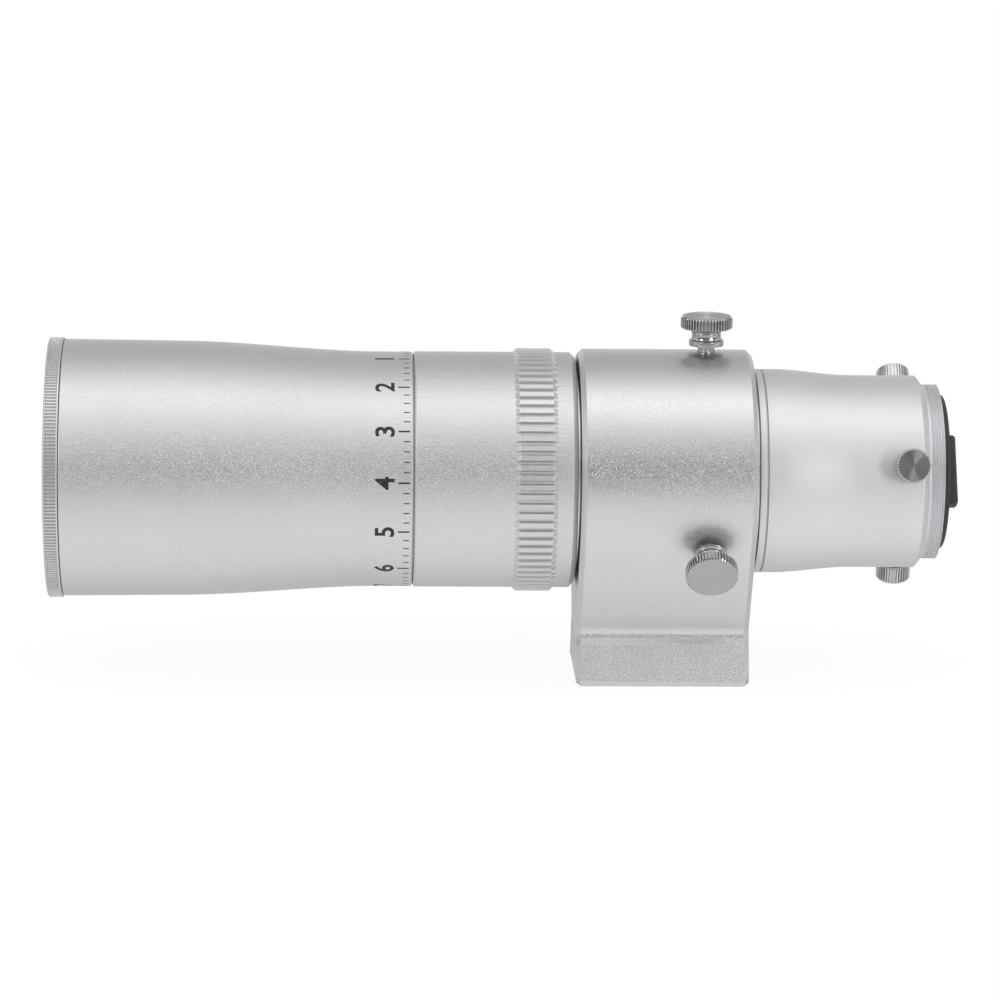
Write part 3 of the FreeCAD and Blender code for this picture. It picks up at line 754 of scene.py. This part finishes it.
def dust_plug():
    """A push-in plug: a thin-walled spigot, a flange with a shallow recess, and a bar to grip."""
    front, rear = span("dust_plug")
    outer = half_height("dust_plug")
    flange_front, flange_rear = HOLDER_REAR + 0.05, HOLDER_REAR + 1.5
    spigot = HOLDER_BORE - 0.3
    inside = spigot - PLUG_WALL
    shell = lathe("plug_shell", [
        (flange_front, 0),
        (flange_front, inside),
        (front, inside, 0.3),
        (front, spigot, 0.6),
        (flange_front, spigot),
        (flange_front, outer, 0.2),
        (flange_rear, outer, 0.5),
        (flange_rear - 0.02, outer - 1.6, 0.1),
        (flange_rear - 0.25, outer - 1.9, 0.15),
        (flange_rear - 0.25, 0),
    ], closed=False)
    finish_piece(on_tube_axis(shell), BLACK_PLASTIC, "plug", "black_plastic", "dust_plug")
    length, thickness = PLUG_GRIP
    depth = rear - flange_rear + 0.5
    bpy.ops.mesh.primitive_cube_add(size=1)
    grip = bpy.context.object
    grip.name = "plug_grip"
    grip.data.transform(Matrix.Diagonal((depth * MM, thickness * MM, length * MM, 1)))
    rounding = grip.modifiers.new("rounding", "BEVEL")
    rounding.width = 0.9 * MM
    rounding.segments = 4
    apply_modifiers(grip)
    grip.data.shade_smooth()
    weigh_normals(grip)
    centre = Matrix.Translation(((rear - depth / 2) * MM, 0, AXIS * MM))
    grip.matrix_world = centre @ Matrix.Rotation(PLUG_TURN, 4, "X")
    finish_piece(grip, BLACK_PLASTIC, "plug", "black_plastic")


# ---------------------------------------------------------------- bracket

BRACKET_HALF = span("bracket")[1]
BRACKET_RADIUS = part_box("bracket")[1].z / MM - AXIS
BRACKET_BORE = 24.9
BRACKET_CHAMFER = 1.2
FOOT_HALF = 16.0
FOOT_EDGE = 1.4             # size of the chamfer under the dovetail
FOOT_TOP = (12.9, 10.1)     # (y, z) of the dovetail's upper edge
NECK = (11.2, 12.3)         # (y, z) of the narrowest place, where the flanks start
CORNER_REACHES = (0.1, 0.2, 0.5, 2.2)       # roundings of the corners, from the sole up to the neck
FLANK_STEPS = 24
RING_STEPS = 120


def rounded_path(points, reaches, steps=8):
    """An open run of (y, z) points, with each inner corner curved over its reach on both sides."""
    path = [points[0]]
    for before, here, after, reach in zip(points, points[1:], points[2:], reaches):
        corner = Vector(here)
        first = corner + (Vector(before) - corner).normalized() * reach
        last = corner + (Vector(after) - corner).normalized() * reach
        for step in range(steps + 1):
            path.append(tuple(curve_point(first, corner, last, step / steps)))
    path.append(points[-1])
    return path


def bracket_outline():
    """Half of the bracket's outline, from the foot's middle up the +Y side to the ring's top."""
    reach = math.hypot(NECK[0], AXIS - NECK[1])
    tangent = math.atan2(NECK[0], AXIS - NECK[1]) + math.acos(BRACKET_RADIUS / reach)
    meets = (BRACKET_RADIUS * math.sin(tangent), AXIS - BRACKET_RADIUS * math.cos(tangent))
    corners = [(0, 0), (FOOT_HALF - FOOT_EDGE, 0), (FOOT_HALF, FOOT_EDGE), FOOT_TOP, NECK, meets]
    path = rounded_path(corners, CORNER_REACHES)[:-1]
    flank = Vector(path[-1])
    for step in range(1, FLANK_STEPS + 1):
        path.append(tuple(flank.lerp(Vector(meets), step / FLANK_STEPS)))
    for step in range(1, RING_STEPS + 1):
        angle = tangent + (math.pi - tangent) * step / RING_STEPS
        path.append((BRACKET_RADIUS * math.sin(angle), AXIS - BRACKET_RADIUS * math.cos(angle)))
    return path


def add_loop(curve, points):
    """Adds a closed loop of (y, z) points to a curve that lies flat."""
    spline = curve.splines.new("POLY")
    spline.points.add(len(points) - 1)
    for point, (y, z) in zip(spline.points, points):
        point.co = (y * MM, z * MM, 0, 1)
    spline.use_cyclic_u = True


# Takes a flat outline's x and y to Y and Z, and its thickness to X
FLAT_TO_UPRIGHT = Matrix(((0, 0, 1, 0), (1, 0, 0, 0), (0, 1, 0, 0), (0, 0, 0, 1)))


def bracket():
    """Ring and dovetail foot in one block, chamfered at both ends, with three screw holes."""
    half = bracket_outline()
    loop = half + [(-y, z) for y, z in half[-2:0:-1]]
    curve = bpy.data.curves.new("bracket_outline", "CURVE")
    curve.dimensions = "2D"
    curve.fill_mode = "BOTH"
    curve.extrude = (BRACKET_HALF - BRACKET_CHAMFER) * MM
    curve.bevel_depth = BRACKET_CHAMFER * MM
    curve.offset = -BRACKET_CHAMFER * MM
    curve.bevel_resolution = 0
    add_loop(curve, loop)
    bore = [(BRACKET_BORE * math.cos(a), AXIS + BRACKET_BORE * math.sin(a)) for a in even_angles(FINE)]
    add_loop(curve, bore)
    source = bpy.data.objects.new("bracket_body", curve)
    bpy.context.scene.collection.objects.link(source)
    graph = bpy.context.evaluated_depsgraph_get()
    mesh = bpy.data.meshes.new_from_object(source.evaluated_get(graph), depsgraph=graph)
    bpy.data.objects.remove(source)
    body = bpy.data.objects.new("bracket_body", mesh)
    bpy.context.scene.collection.objects.link(body)
    mesh.transform(FLAT_TO_UPRIGHT)
    weld = body.modifiers.new("weld", "WELD")
    weld.merge_threshold = 0.002 * MM
    rounding = body.modifiers.new("rounding", "BEVEL")
    rounding.width = EDGE * MM
    rounding.segments = 3
    rounding.angle_limit = math.radians(32)
    apply_modifiers(body)
    drilled(body, AIM_SCREW_X, AIM_ANGLES.values(), AIM_HOLE, BRACKET_BORE - 2, BRACKET_RADIUS + 2)
    finish_piece(body, SILVER_BRACKET, "bracket", "silver_aluminium", "bracket")


# ---------------------------------------------------------------- printed focus scale

SCALE_STEP = math.radians(25)           # one number for each millimetre of travel
SCALE_ZERO = math.radians(105)
SCALE_NUMBERS = 13
FINE_MARKS = 5                          # parts that the way to the next number is divided into
INK_THICKNESS = 0.012
DIGIT_SIZE = 6.3
DIGIT_BASE = -64.9
DIGIT_BOLDNESS = 0.12
DIGIT_SLICE = 0.5                       # a digit is bent round the barrel in steps of this width
MARK_FRONT, FINE_MARK_FRONT, MARK_REAR = -63.9, -62.6, -61.2
MARK_WIDTH, FINE_MARK_WIDTH, INDEX_WIDTH = 0.42, 0.26, 0.5
INDEX_FRONT, INDEX_REAR = -59.2, -55.6


def wrapped(obj, radius, base_x, centre):
    """Bends a flat mesh in the XY plane round the barrel: its x runs up the near side, its y to -X."""
    for vertex in obj.data.vertices:
        u, v, w = (c / MM for c in vertex.co)
        angle = centre + u / radius
        r = radius + w
        spot = (base_x - v, -r * math.cos(angle), AXIS + r * math.sin(angle))
        vertex.co = Vector(spot) * MM
    obj.data.update()


def printed_number(value, angle):
    """A number printed across the barrel, with its middle at the angle."""
    text = bpy.data.curves.new("number", "FONT")
    text.body = str(value)
    text.size = DIGIT_SIZE * MM
    text.align_x = "CENTER"
    text.extrude = INK_THICKNESS * MM
    text.offset = DIGIT_BOLDNESS * MM
    source = bpy.data.objects.new("number", text)
    bpy.context.scene.collection.objects.link(source)
    graph = bpy.context.evaluated_depsgraph_get()
    mesh = bpy.data.meshes.new_from_object(source.evaluated_get(graph), depsgraph=graph)
    bpy.data.objects.remove(source)
    places = [vertex.co.x / MM for vertex in mesh.vertices]
    start, width = min(places), max(places) - min(places)
    steps = math.ceil(width / DIGIT_SLICE)
    slice_across(mesh, [start + width * step / steps for step in range(1, steps)])
    obj = bpy.data.objects.new(f"scale_number_{value}", mesh)
    bpy.context.scene.collection.objects.link(obj)
    wrapped(obj, BARREL_REAR_RADIUS, DIGIT_BASE, angle)
    finish_piece(obj, INK, "barrel", "black_aluminium")


def printed_line(name, body, radius, x0, x1, angle, width):
    """A straight printed line along a turned piece, as a thin box."""
    verts = []
    half = width / 2
    for x in (x0, x1):
        for u in (-half, half):
            for w in (-INK_THICKNESS, INK_THICKNESS):
                a = angle + u / radius
                verts.append((x, -(radius + w) * math.cos(a), AXIS + (radius + w) * math.sin(a)))
    faces = [(0, 1, 3, 2), (4, 6, 7, 5), (0, 4, 5, 1), (2, 3, 7, 6), (1, 5, 7, 3), (0, 2, 6, 4)]
    finish_piece(new_object(name, verts, faces), INK, body, "black_aluminium")


def focus_scale():
    """Numbers and marks round the barrel's rear, and the index on the focus ring."""
    radius = BARREL_REAR_RADIUS
    for value in range(SCALE_NUMBERS):
        angle = SCALE_ZERO - value * SCALE_STEP
        printed_number(value, angle)
        printed_line(f"scale_mark_{value}", "barrel", radius, MARK_FRONT, MARK_REAR, angle, MARK_WIDTH)
        if value == SCALE_NUMBERS - 1:
            break
        for part in range(1, FINE_MARKS):
            mark = angle - SCALE_STEP * part / FINE_MARKS
            name = f"scale_fine_{value}_{part}"
            printed_line(name, "barrel", radius, FINE_MARK_FRONT, MARK_REAR, mark, FINE_MARK_WIDTH)
    sleeve = half_height("focus_ring") - SLEEVE_STEP
    printed_line("focus_index", "focus_ring", sleeve, INDEX_FRONT, INDEX_REAR, SCALE_ZERO, INDEX_WIDTH)


# ---------------------------------------------------------------- studio

CAMERA_AZIMUTH = math.radians(-2.1)
CAMERA_ELEVATION = math.radians(12.3)
CAMERA_ROLL = math.radians(0.72)
CAMERA_DISTANCE_M = 1.12
CAMERA_LENS = 167.5
CAMERA_SENSOR = 36
CAMERA_AIM_M = Vector((-0.0390, 0.0, 0.04244))

# Glow of the room at angles from the front horizon over the top to the back horizon, in degrees,
# and of the floor at distances from the back (below 0) to the front, in metres. White paper is 1.
ROOM_GLOW = (
    (0, 0.42), (8, 0.24), (18, 0.28), (30, 0.64), (44, 0.86), (58, 1.12),
    (76, 1.68), (90, 1.36), (106, 0.82), (126, 0.54), (150, 0.58), (180, 0.85),
)
# The floor's dimmer stops under and behind the object are a painted shadow of the object in what it
# mirrors of the floor
FLOOR_GLOW = (
    (-0.60, 0.50), (-0.40, 0.62), (-0.20, 0.84), (-0.11, 1.00), (-0.04, 1.02),
    (-0.018, 0.92), (-0.004, 0.72), (0.03, 0.62), (0.60, 0.58),
)
FLOOR_REACH_M = 0.6
FLOOR_SIZE_M = 40
PAPER_WHITE = 0.93
PAPER_ALBEDO = 0.08

# Soft boxes beside the camera: where each stands, and how bright it is
SOFT_BOXES = {"left": ((-0.74, -0.86, 0.42), 7.2), "right": ((0.62, -0.90, 0.22), 9.2)}
SOFT_BOX_SIZE_M = (0.18, 0.34)
SOFT_BOX_AIM_M = (-0.04, 0.0, 0.05)


def camera():
    """A long lens a little above the level, square to the tube."""
    data = bpy.data.cameras.new("camera")
    data.lens = CAMERA_LENS
    data.sensor_width = CAMERA_SENSOR
    data.clip_start = 0.05
    data.clip_end = 50
    obj = bpy.data.objects.new("camera", data)
    bpy.context.scene.collection.objects.link(obj)
    level = math.cos(CAMERA_ELEVATION)
    ahead, aside = level * math.cos(CAMERA_AZIMUTH), level * math.sin(CAMERA_AZIMUTH)
    back = Vector((aside, -ahead, math.sin(CAMERA_ELEVATION)))
    look = back.to_track_quat("Z", "Y").to_matrix().to_4x4()
    place = Matrix.Translation(CAMERA_AIM_M + back * CAMERA_DISTANCE_M)
    obj.matrix_world = place @ look @ Matrix.Rotation(CAMERA_ROLL, 4, "Z")
    bpy.context.scene.camera = obj


def soft_box(name, place_m, glow):
    """A rectangular soft box whose surface is as bright as glow, where 1 is paper white."""
    data = bpy.data.lights.new(name, "AREA")
    data.shape = "RECTANGLE"
    data.size, data.size_y = SOFT_BOX_SIZE_M
    data.energy = glow * math.pi * data.size * data.size_y
    obj = bpy.data.objects.new(name, data)
    bpy.context.scene.collection.objects.link(obj)
    away = Vector(place_m) - Vector(SOFT_BOX_AIM_M)
    obj.matrix_world = Matrix.Translation(place_m) @ away.to_track_quat("Z", "Y").to_matrix().to_4x4()


def ramp_of(tree, value, stops):
    """A colour ramp over 0 to 1 through (position, grey) stops."""
    ramp = tree.nodes.new("ShaderNodeValToRGB")
    elements = ramp.color_ramp.elements
    while len(elements) < len(stops):
        elements.new(0.5)
    for element, (position, grey) in zip(elements, stops):
        element.position = position
        element.color = (grey, grey, grey, 1)
    ramp.color_ramp.interpolation = "EASE"
    tree.links.new(value, ramp.inputs["Fac"])
    return ramp.outputs["Color"]


def plain_to_camera(tree, seen, mirrored, output):
    """What the camera sees directly is one shader, and what surfaces mirror is the other."""
    path = tree.nodes.new("ShaderNodeLightPath")
    mix = tree.nodes.new("ShaderNodeMixShader")
    tree.links.new(path.outputs["Is Camera Ray"], mix.inputs["Fac"])
    tree.links.new(mirrored, mix.inputs[1])
    tree.links.new(seen, mix.inputs[2])
    tree.links.new(mix.outputs["Shader"], output)


def room():
    """White behind the object; what it mirrors is dim at eye level and bright overhead."""
    world = bpy.data.worlds.new("studio")
    bpy.context.scene.world = world
    world.use_nodes = True
    tree = world.node_tree
    backdrop = tree.nodes["Background"]
    backdrop.inputs["Color"].default_value = (1, 1, 1, 1)
    direction = tree.nodes.new("ShaderNodeTexCoord")
    split = tree.nodes.new("ShaderNodeSeparateXYZ")
    tree.links.new(direction.outputs["Generated"], split.inputs["Vector"])
    forward = tree.nodes.new("ShaderNodeMath")
    forward.operation = "MULTIPLY"
    forward.inputs[1].default_value = -1.0
    tree.links.new(split.outputs["Y"], forward.inputs[0])
    elevation = tree.nodes.new("ShaderNodeMath")
    elevation.operation = "ARCTAN2"
    tree.links.new(split.outputs["Z"], elevation.inputs[0])
    tree.links.new(forward.outputs["Value"], elevation.inputs[1])
    share = tree.nodes.new("ShaderNodeMath")
    share.operation = "DIVIDE"
    share.inputs[1].default_value = math.pi
    tree.links.new(elevation.outputs["Value"], share.inputs[0])
    walls = tree.nodes.new("ShaderNodeBackground")
    stops = [(angle / 180, glow) for angle, glow in ROOM_GLOW]
    tree.links.new(ramp_of(tree, share.outputs["Value"], stops), walls.inputs["Color"])
    surface = tree.nodes["World Output"].inputs["Surface"]
    plain_to_camera(tree, backdrop.outputs["Background"], walls.outputs["Background"], surface)


def floor():
    """Pale paper to the camera; what the object mirrors of it is a pool of light below, dimmed under and
    behind the object as a painted shadow.
    """
    bpy.ops.mesh.primitive_plane_add(size=FLOOR_SIZE_M)
    plane = bpy.context.object
    plane.name = "floor"
    pale = bpy.data.materials.new("pale_floor")
    pale.use_nodes = True
    tree = pale.node_tree
    paper = tree.nodes["Principled BSDF"]
    paper.inputs["Base Color"].default_value = (PAPER_ALBEDO, PAPER_ALBEDO, PAPER_ALBEDO, 1)
    paper.inputs["Roughness"].default_value = 1.0
    paper.inputs["Specular IOR Level"].default_value = 0.0
    paper.inputs["Emission Color"].default_value = (1, 1, 1, 1)
    paper.inputs["Emission Strength"].default_value = PAPER_WHITE
    place = tree.nodes.new("ShaderNodeTexCoord")
    split = tree.nodes.new("ShaderNodeSeparateXYZ")
    share = tree.nodes.new("ShaderNodeMapRange")
    share.inputs["From Min"].default_value = -FLOOR_REACH_M
    share.inputs["From Max"].default_value = FLOOR_REACH_M
    pool = tree.nodes.new("ShaderNodeEmission")
    tree.links.new(place.outputs["Object"], split.inputs["Vector"])
    tree.links.new(split.outputs["Y"], share.inputs["Value"])
    stops = [(y / FLOOR_REACH_M / 2 + 0.5, glow) for y, glow in FLOOR_GLOW]
    tree.links.new(ramp_of(tree, share.outputs["Result"], stops), pool.inputs["Color"])
    surface = tree.nodes["Material Output"].inputs["Surface"]
    plain_to_camera(tree, paper.outputs["BSDF"], pool.outputs["Emission"], surface)
    plane.data.materials.append(pale)


def studio():
    room()
    floor()
    for name, (place_m, glow) in SOFT_BOXES.items():
        soft_box(name, place_m, glow)
    bpy.context.scene.view_settings.view_transform = "Standard"


dress_nodes()
front_cap()
objective_barrel()
helicoid()
focus_ring()
tube_end_ring()
nosepiece_holder()
for side, angle in AIM_ANGLES.items():
    aim_screw(side, angle)
for side, angle in CLAMP_ANGLES.items():
    clamp_screw(side, angle)
dust_plug()
bracket()
focus_scale()
camera()
studio()
